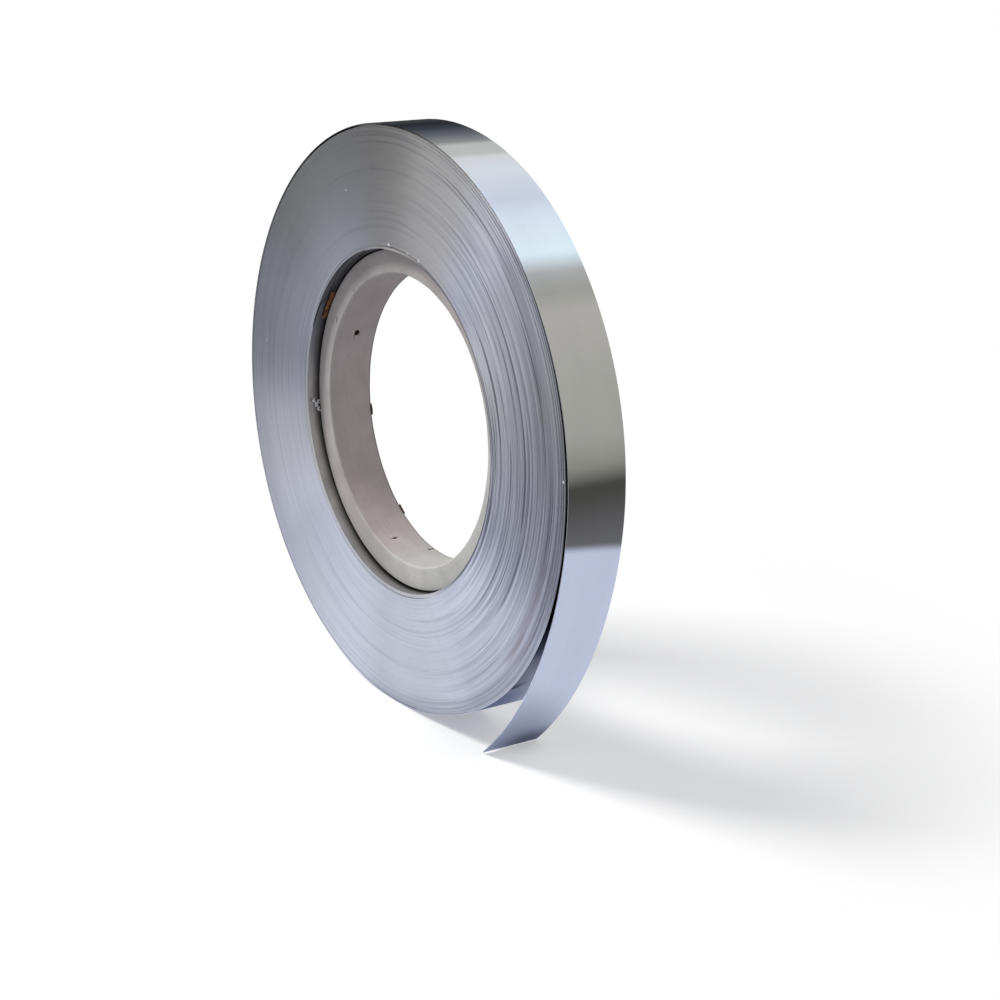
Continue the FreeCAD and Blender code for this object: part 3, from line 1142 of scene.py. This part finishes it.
# Chips on the seen end: (radius, angle, size)
END_CHIPS = (
    (181.4 * MM, 91.9, 3.3 * MM),
    (181.0 * MM, 74.3, 3.6 * MM),
    (180.6 * MM, 80.6, 2.4 * MM),
    (295.0 * MM, 2.4, 2.6 * MM),
    (265.5 * MM, 172.4, 1.9 * MM),
    (240.9 * MM, 111.6, 2.2 * MM),
)

# Chips inside the first turn: (angle, y, size)
BORE_CHIPS = (
    (-175.2, -25.5 * MM, 3.4 * MM),
    (-173.6, -22.4 * MM, 4.0 * MM),
    (-172.0, -20.0 * MM, 3.6 * MM),
    (-174.6, -19.6 * MM, 3.0 * MM),
)

# Scraps of board: name, (angle, radius, y), the angle they point to, the way they face,
# (length, width, thickness, curl), seed, whether they are torn and take the dark board of painted shade
CORE_FRONT = CORE_NEAR - 0.1 * MM
CORE_REAR = CORE_FAR - 0.6 * MM
SCRAP_1 = (3.4 * MM, 1.8 * MM, 0.2 * MM, 0.8 * MM)
SCRAP_2 = (5.0 * MM, 3.0 * MM, 0.25 * MM, 0.9 * MM)
SCRAP_3 = (4.6 * MM, 3.6 * MM, 0.3 * MM, 1.3 * MM)
BURR_1 = (12.0 * MM, 3.2 * MM, 0.4 * MM, 0.2 * MM)
BURR_2 = (13.0 * MM, 3.2 * MM, 0.4 * MM, 0.2 * MM)
BOARD_SCRAPS = (
    ("core_scrap_1", (-172.4, CORE_RADIUS - 2.5 * MM, CORE_FRONT), -100.0, TO_NEAR, SCRAP_1, 31.0, True),
    ("core_scrap_2", (149.5, CORE_BORE + 7.4 * MM, CORE_FRONT), 75.0, TO_NEAR, SCRAP_2, 41.0, False),
    ("core_scrap_3", (157.0, CORE_BORE - 0.1 * MM, 6.2 * MM), 247.0, -unit(157.0), SCRAP_3, 47.0, False),
    ("far_burr_1", (-169.9, CORE_BORE - 0.3 * MM, CORE_REAR), -79.9, TO_FAR, BURR_1, 51.0, True),
    ("far_burr_2", (-124.7, CORE_BORE - 0.3 * MM, CORE_REAR), -34.7, TO_FAR, BURR_2, 52.0, True),
)


def plate(name, rows, thickness, material):
    """A thin closed sheet from rows of (place, way out)."""
    count = len(rows[0])
    spots = [spot for row in rows for spot in row]
    points = [place + out * thickness for place, out in spots]
    points += [place for place, out in spots]
    under = len(spots)
    faces = []
    for line in range(len(rows) - 1):
        for corner in range(count - 1):
            first = line * count + corner
            ring = (first, first + 1, first + count + 1, first + count)
            faces.append(ring)
            faces.append(tuple(under + spot for spot in reversed(ring)))
    border = list(range(count))
    border += [line * count + count - 1 for line in range(1, len(rows))]
    border += [(len(rows) - 1) * count + corner for corner in reversed(range(count - 1))]
    border += [line * count for line in reversed(range(1, len(rows) - 1))]
    for step, here in enumerate(border):
        there = border[(step + 1) % len(border)]
        faces.append((here, there, under + there, under + here))
    piece = mesh_object(name, points, faces, [material])
    face_outwards(piece)
    smooth_with_arrises(piece, 50.0)
    return piece


def scrap(name, where, heading, out, form, seed, material):
    """A small crumpled scrap that lies on a surface."""
    length, width, thickness, curl = form
    lengthwise = unit(heading)
    across = out.cross(lengthwise)
    rows = []
    for line in range(6):
        share = line / 5 - 0.5
        row = []
        for step in range(6):
            part = step / 5 - 0.5
            crumple = noise.noise(Vector((share * 2.6 + seed, part * 2.6, seed * 1.7)))
            ragged = 1.0 - 0.6 * abs(share) + 0.35 * crumple
            spot = spot_at(*where) + lengthwise * (share * length)
            spot = spot + across * (part * width * ragged)
            spot = spot + out * (curl * (0.5 + crumple))
            row.append((spot, out))
        rows.append(row)
    return plate(name, rows, thickness, material)


def tape_end(material):
    """The end of the gummed tape that holds the first turn."""
    rows = []
    for line in range(13):
        share = line / 12
        row = []
        for step in range(6):
            part = step / 5
            angle = TAPE_ANGLES[0] + (TAPE_ANGLES[1] - TAPE_ANGLES[0]) * share
            y = TAPE_DEPTHS[0] + (TAPE_DEPTHS[1] - TAPE_DEPTHS[0]) * part
            crease = noise.noise(Vector((share * 7.0, part * 3.0, 4.2)))
            angle += 0.5 * (part - 0.5) + 0.5 * noise.noise(Vector((part * 4.0, share, 9.1)))
            radius = PACK_BORE - (0.30 + 0.22 * crease) * MM
            row.append((spot_at(angle, radius, y), -unit(angle)))
        rows.append(row)
    return plate("tape_end", rows, TAPE_THICKNESS, material)


def metal_chips(material):
    """Chips and burrs that cling to the seen end and to the inside of the first turn."""
    chips = []
    for number, (radius, angle, size) in enumerate(END_CHIPS):
        where = (angle, radius, NEAR_FACE - 0.04 * MM)
        form = (size, size, 0.10 * MM, 0.18 * MM)
        name = f"end_chip_{number + 1}"
        chips.append(scrap(name, where, angle + 60.0, TO_NEAR, form, 3.0 + number, material))
    for number, (angle, y, size) in enumerate(BORE_CHIPS):
        where = (angle, PACK_BORE - 0.4 * MM, y)
        form = (size * 1.3, size, 0.15 * MM, 2.2 * MM)
        name = f"bore_chip_{number + 1}"
        seed = 21.0 + 3.1 * number
        chips.append(scrap(name, where, angle + 90.0, -unit(angle), form, seed, material))
    return chips


# Studio: colours

DARK_BELOW = (0.14, 0.14, 0.15)
GREY_BELOW = (0.225, 0.232, 0.285)
DARK_SKIRTING = (0.065, 0.065, 0.06)
OLIVE_WALL = (0.37, 0.37, 0.34)
OLIVE_WALL_TOP = (0.46, 0.45, 0.42)
PALE_PANEL = (0.80, 0.95, 1.03)
PALE_PANEL_BACK = (0.75, 0.84, 0.95)
SOFT_CEILING = (0.73, 0.78, 0.84)
GREY_CEILING = (0.54, 0.55, 0.54)
PALE_CEILING = (0.80, 0.79, 0.78)
DULL_CEILING = (0.58, 0.57, 0.555)
SLATE_WALL = (0.13, 0.14, 0.16)
SLATE_DEEP = (0.02, 0.024, 0.030)
GREY_WALL = (0.155, 0.15, 0.15)
FRONT_PANEL = (0.79, 0.84, 0.98)
FRONT_PANEL_WAY = (-0.30, -0.835, 0.46)
DAYLIGHT = (0.92, 0.95, 1.0)
DAYLIGHT_STRENGTH = 0.31
WHITE = (1.0, 1.0, 1.0)

FLOOR_SIZE = 1.6
FLOOR_PALE = (0.80, 0.80, 0.80)
FLOOR_GLOW = 0.33
FLOOR_UNSEEN = (0.60, 0.61, 0.64)

TABLE_MATT = (0.16, 0.178, 0.226)
TABLE_GLOW = (0.475, 0.52, 0.655)
TABLE_GLOW_LEFT = (0.73, 0.755, 0.885)
TABLE_GLOW_FRONT = (1.00, 1.035, 1.16)
TABLE_SHADE = (0.07, 0.085, 0.15)

# Where the table that the metal sees ends on each side, and how askew its edges are
TABLE_LEFT = -1.38
TABLE_LEFT_SLANT = 1.6
TABLE_RIGHT = 0.60
TABLE_RIGHT_SLANT = 0.7
TABLE_RIGHT_AT = 0.28
TABLE_FRONT = -0.335
TABLE_FRONT_SLANT = 0.5
TABLE_BACK = 0.75
FRONT_MIDDLE = (-0.17, -0.15, FLOOR_HEIGHT)
SHADE_MIDDLE = (0.08, 0.01, FLOOR_HEIGHT)

# Angles are about the coil's axis, from +X up to +Z
WALLS_BEHIND = (
    (-180.0, (0.045, 0.048, 0.055)),
    (-160.0, SLATE_WALL),
    (-120.0, DARK_BELOW),
    (-38.0, DARK_BELOW),
    (-18.0, DARK_SKIRTING),
    (-15.0, DARK_SKIRTING),
    (-8.0, (0.27, 0.27, 0.24)),
    (2.0, OLIVE_WALL),
    (50.0, OLIVE_WALL_TOP),
    (58.0, OLIVE_WALL),
    (66.0, (0.44, 0.45, 0.46)),
    (74.0, PALE_PANEL),
    (92.0, PALE_PANEL_BACK),
    (101.0, (0.64, 0.70, 0.83)),
    (118.0, SOFT_CEILING),
    (128.0, (0.70, 0.72, 0.75)),
    (131.0, GREY_CEILING),
    (139.0, GREY_CEILING),
    (141.5, (0.28, 0.30, 0.31)),
    (150.0, SLATE_WALL),
    (159.0, (0.045, 0.052, 0.065)),
    (164.0, (0.034, 0.039, 0.048)),
    (168.0, SLATE_DEEP),
    (176.0, (0.05, 0.053, 0.06)),
)
WALLS_BEFORE = (
    (-180.0, GREY_WALL),
    (-155.0, GREY_WALL),
    (-138.0, GREY_BELOW),
    (-30.0, GREY_BELOW),
    (-10.0, OLIVE_WALL),
    (45.0, OLIVE_WALL_TOP),
    (66.0, PALE_CEILING),
    (118.0, DULL_CEILING),
    (142.0, GREY_CEILING),
    (158.0, GREY_WALL),
)


# Studio: shaders

def plain_shader(tree, kind, colour, strength=None):
    """A Background, Emission or Diffuse shader of one colour or of a node's colour."""
    feeds = {"Color": colour}
    if strength is not None:
        feeds["Strength"] = strength
    return new_node(tree, kind, feeds).outputs[0]


def mixed(tree, amount, first, second):
    """A mix of two shaders."""
    return new_node(tree, "ShaderNodeMixShader", {0: amount, 1: first, 2: second}).outputs[0]


def added(tree, first, second):
    """Two shaders on top of each other."""
    return new_node(tree, "ShaderNodeAddShader", {0: first, 1: second}).outputs[0]


def by_ray(tree, kind, plain, mirrored, seen):
    """One shader for light, one for what the metal mirrors and one for the camera."""
    rays = new_node(tree, "ShaderNodeLightPath").outputs
    unseen = mixed(tree, rays["Is Glossy Ray"], plain, mirrored)
    both = mixed(tree, rays["Is Camera Ray"], unseen, seen)
    new_node(tree, kind, {"Surface": both})


def wall_colours(tree, share, walls):
    """The colours of the walls at each angle about the coil's axis."""
    node = new_node(tree, "ShaderNodeValToRGB", {"Fac": share})
    stops = node.color_ramp.elements
    stops.remove(stops[-1])
    stops[0].position = 0.0
    stops[0].color = (*walls[0][1], 1.0)
    for degrees, colour in walls[1:]:
        stop = stops.new((degrees + 180.0) / 360.0)
        stop.color = (*colour, 1.0)
    return node.outputs["Color"]


def studio_world():
    """White for the camera. In the metal, walls and panels that run along the coil's axis."""
    world = bpy.data.worlds.new("studio")
    bpy.context.scene.world = world
    world.cycles.sampling_method = "NONE"
    tree = emptied_tree(world)
    way = new_node(tree, "ShaderNodeTexCoord").outputs["Generated"]
    parts = parts_of(tree, way)
    angle = maths(tree, "ARCTAN2", parts["Z"], parts["X"])
    share = spread(tree, angle, -math.pi, math.pi)
    before = wall_colours(tree, share, WALLS_BEFORE)
    behind = wall_colours(tree, share, WALLS_BEHIND)
    walls = blended(tree, smoothed(tree, parts["Y"], -0.1, 0.3), before, behind)
    towards = vector_maths(tree, "DOT_PRODUCT", way, FRONT_PANEL_WAY)
    walls = blended(tree, smoothed(tree, towards, 0.84, 0.93), walls, FRONT_PANEL)
    plain = plain_shader(tree, "ShaderNodeBackground", DAYLIGHT, DAYLIGHT_STRENGTH)
    mirrored = plain_shader(tree, "ShaderNodeBackground", walls)
    seen = plain_shader(tree, "ShaderNodeBackground", WHITE, 1.0)
    by_ray(tree, "ShaderNodeOutputWorld", plain, mirrored, seen)


def pale_ground(tree, place):
    """What the camera sees of the floor: a pale ground that fades to the white background."""
    away = vector_maths(tree, "LENGTH", vector_maths(tree, "MULTIPLY", place, (1.0, 1.0, 0.0)))
    ground = plain_shader(tree, "ShaderNodeBsdfDiffuse", FLOOR_PALE)
    glow = plain_shader(tree, "ShaderNodeEmission", WHITE, FLOOR_GLOW)
    white = plain_shader(tree, "ShaderNodeEmission", WHITE, 1.0)
    return mixed(tree, smoothed(tree, away, 0.40, 0.75), added(tree, ground, glow), white)


def squeezed_from(tree, place, middle, squeeze):
    """How far a place is from a middle, with the way across squeezed."""
    off_middle = vector_maths(tree, "SUBTRACT", place, middle)
    return vector_maths(
        tree, "LENGTH", vector_maths(tree, "MULTIPLY", off_middle, (squeeze, 1.0, 1.0))
    )


def mirrored_table(tree, place):
    """What the metal sees of the floor: a table whose edges run askew."""
    x, y, _ = parts_of(tree, place)
    beyond = maths(tree, "SUBTRACT", y, TABLE_RIGHT_AT)
    sideways = maths(tree, "MULTIPLY_ADD", beyond, TABLE_RIGHT_SLANT, x)
    right = smoothed(tree, sideways, TABLE_RIGHT - 0.04, TABLE_RIGHT + 0.04, 1.0, 0.0)
    to_back = maths(tree, "MAXIMUM", y, 0.0)
    slanted = maths(tree, "MULTIPLY_ADD", to_back, -TABLE_LEFT_SLANT, x)
    left = smoothed(tree, slanted, TABLE_LEFT - 0.12, TABLE_LEFT + 0.12)
    back = spread(tree, y, TABLE_BACK - 0.05, TABLE_BACK + 0.05, 1.0, 0.0)
    slanting = maths(tree, "MULTIPLY_ADD", x, -TABLE_FRONT_SLANT, y)
    front = smoothed(tree, slanting, TABLE_FRONT - 0.08, TABLE_FRONT + 0.08)
    on_table = right
    for edge in (left, back, front):
        on_table = maths(tree, "MINIMUM", on_table, edge)
    leftwards = smoothed(tree, x, -0.80, -0.34, 1.0, 0.0)
    glow = blended(tree, leftwards, TABLE_GLOW, TABLE_GLOW_LEFT)
    off_front = squeezed_from(tree, place, FRONT_MIDDLE, 0.6)
    in_front = smoothed(tree, off_front, 0.09, 0.245, 1.0, 0.0)
    in_front = times(tree, in_front, smoothed(tree, y, -0.07, 0.0, 1.0, 0.0))
    glow = blended(tree, in_front, glow, TABLE_GLOW_FRONT)
    off_shade = squeezed_from(tree, place, SHADE_MIDDLE, 0.5)
    glow = blended(tree, smoothed(tree, off_shade, 0.03, 0.10, 1.0, 0.0), glow, TABLE_SHADE)
    matt = plain_shader(tree, "ShaderNodeBsdfDiffuse", TABLE_MATT)
    top = added(tree, matt, plain_shader(tree, "ShaderNodeEmission", glow))
    clear = new_node(tree, "ShaderNodeBsdfTransparent").outputs[0]
    return mixed(tree, on_table, clear, top)


def studio_floor():
    """A pale floor, which the metal sees as a table."""
    material = bpy.data.materials.new("pale_floor")
    tree = emptied_tree(material)
    material.cycles.emission_sampling = "NONE"
    place = object_place(tree)
    plain = plain_shader(tree, "ShaderNodeBsdfDiffuse", FLOOR_UNSEEN)
    table = mirrored_table(tree, place)
    by_ray(tree, "ShaderNodeOutputMaterial", plain, table, pale_ground(tree, place))
    disc = bmesh.new()
    bmesh.ops.create_circle(disc, cap_ends=True, segments=128, radius=FLOOR_SIZE)
    for point in disc.verts:
        point.co.z = FLOOR_HEIGHT
    floor = shell_object("floor", disc, material)


def soft_lamp(name, place, side, power, colour):
    """A large soft lamp over the coil. The metal sees the studio's walls and not the lamp."""
    data = bpy.data.lights.new(name, "AREA")
    data.shape = "RECTANGLE"
    data.size = side
    data.size_y = side
    data.energy = power
    data.color = colour
    lamp = new_object(name, data)
    lamp.location = place
    lamp.rotation_euler = (-Vector(place)).to_track_quat("-Z", "Y").to_euler()
    lamp.visible_camera = False
    lamp.visible_glossy = False


# The camera, from the coil's seen end: its direction, its distance and where it looks
CAMERA_AZIMUTH = 58.504
CAMERA_ELEVATION = 14.936
CAMERA_DISTANCE = 7.4149 * COIL_RADIUS
CAMERA_PAN = 2.7986
CAMERA_TILT = -1.9908
CAMERA_LENS = 79.2
SENSOR_WIDTH = 36.0


def set_camera():
    """The photograph's view, found from the ends of the coil in it."""
    azimuth = math.radians(CAMERA_AZIMUTH)
    elevation = math.radians(CAMERA_ELEVATION)
    pan = math.radians(CAMERA_PAN)
    tilt = math.radians(CAMERA_TILT)
    target = Vector((0.0, NEAR_FACE, 0.0))
    back = Vector(
        (
            math.sin(azimuth) * math.cos(elevation),
            -math.cos(azimuth) * math.cos(elevation),
            math.sin(elevation),
        )
    )
    ahead = -back
    right = ahead.cross(Vector((0.0, 0.0, 1.0))).normalized()
    up = right.cross(ahead)
    panned_right = right * math.cos(pan) - ahead * math.sin(pan)
    panned_ahead = right * math.sin(pan) + ahead * math.cos(pan)
    tilted_up = up * math.cos(tilt) - panned_ahead * math.sin(tilt)
    tilted_ahead = up * math.sin(tilt) + panned_ahead * math.cos(tilt)
    data = bpy.data.cameras.new("view")
    data.lens = CAMERA_LENS
    data.sensor_width = SENSOR_WIDTH
    camera = new_object("view", data)
    turn = Matrix((panned_right, tilted_up, -tilted_ahead)).transposed()
    camera.matrix_world = Matrix.Translation(target + back * CAMERA_DISTANCE) @ turn.to_4x4()
    bpy.context.scene.camera = camera


bpy.context.scene.view_settings.view_transform = "Standard"
set_camera()
studio_world()
studio_floor()
soft_lamp("key_lamp", (-1.35, -1.15, 1.75), 0.9, 54.0, (1.0, 0.99, 0.97))
soft_lamp("back_lamp", (1.5, 0.9, 1.5), 1.4, 11.0, (1.0, 0.98, 0.97))

# Finishes: a clouded one is given by its fixed numbers, the scale and detail of its clouds,
# its darkest and lightest colour, its range of roughness, and the depth and strength of its relief
slit_edges = slit_edge_metal()
strip_face = strip_face_metal(free_end_line()[-1][2])
# Dark metal for the slanted near edges of the first turns: painted shade
painted_shade_edge = clouded(
    "aluminium_painted_shade_edge", {"Metallic": 1.0}, 120.0, 3.0,
    (0.03, 0.03, 0.035), (0.12, 0.12, 0.13), (0.45, 0.65), 0.1 * MM, 0.5,
)
dulled_face = dulled_face_metal()
# Chips nearly matt and pale, always bright: partly their own pale colour, partly a painted glint
chip = clouded(
    "aluminium_chips", {"Metallic": 0.15}, 900.0, 2.0,
    (0.80, 0.80, 0.82), (0.97, 0.97, 0.97), (0.25, 0.45), 0.1 * MM, 0.5,
)
paper_end = core_paper(
    "core_board_end",
    ((0.42, 0.385, 0.375), (0.57, 0.53, 0.515)),
    ((0.56, 0.55, 0.53), (0.74, 0.73, 0.71)),
    True,
)
paper_wall = core_paper(
    "core_board_wall",
    ((0.42, 0.365, 0.36), (0.52, 0.455, 0.45)),
    ((0.50, 0.49, 0.465), (0.61, 0.60, 0.575)),
    False,
)
# Dark board for the hole linings, torn scraps and burrs: painted shade
dark_board_shade = clouded(
    "core_board_painted_shade", {"Specular IOR Level": 0.2}, 1200.0, 3.0,
    (0.05, 0.035, 0.03), (0.20, 0.15, 0.13), (0.85, 1.0), 0.2 * MM, 0.8,
)
tape = kraft_tape()

# Pieces
pack = pack_ring(strip_face, slit_edges)
near_edges = wind_edges("near_turn_edges", slit_edges, False)
far_edges = wind_edges("far_turn_edges", slit_edges, True)
tail = last_turn_and_tail(strip_face, slit_edges)
start_turns = first_turns(dulled_face, slit_edges, painted_shade_edge)
core = core_ring(paper_end, paper_wall)
pierced(core, CORE_HOLES, dark_board_shade)
taped = tape_end(tape)
metal_bits = metal_chips(chip)
board_bits = [
    scrap(name, where, heading, out, form, seed, dark_board_shade if torn_and_shaded else paper_end)
    for name, where, heading, out, form, seed, torn_and_shaded in BOARD_SCRAPS
]

for piece in (pack, near_edges, far_edges, tail, start_turns, taped, *metal_bits):
    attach(piece, "root")
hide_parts("wound_strip")
for piece in (core, *board_bits):
    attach(piece, "root")
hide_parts("core")
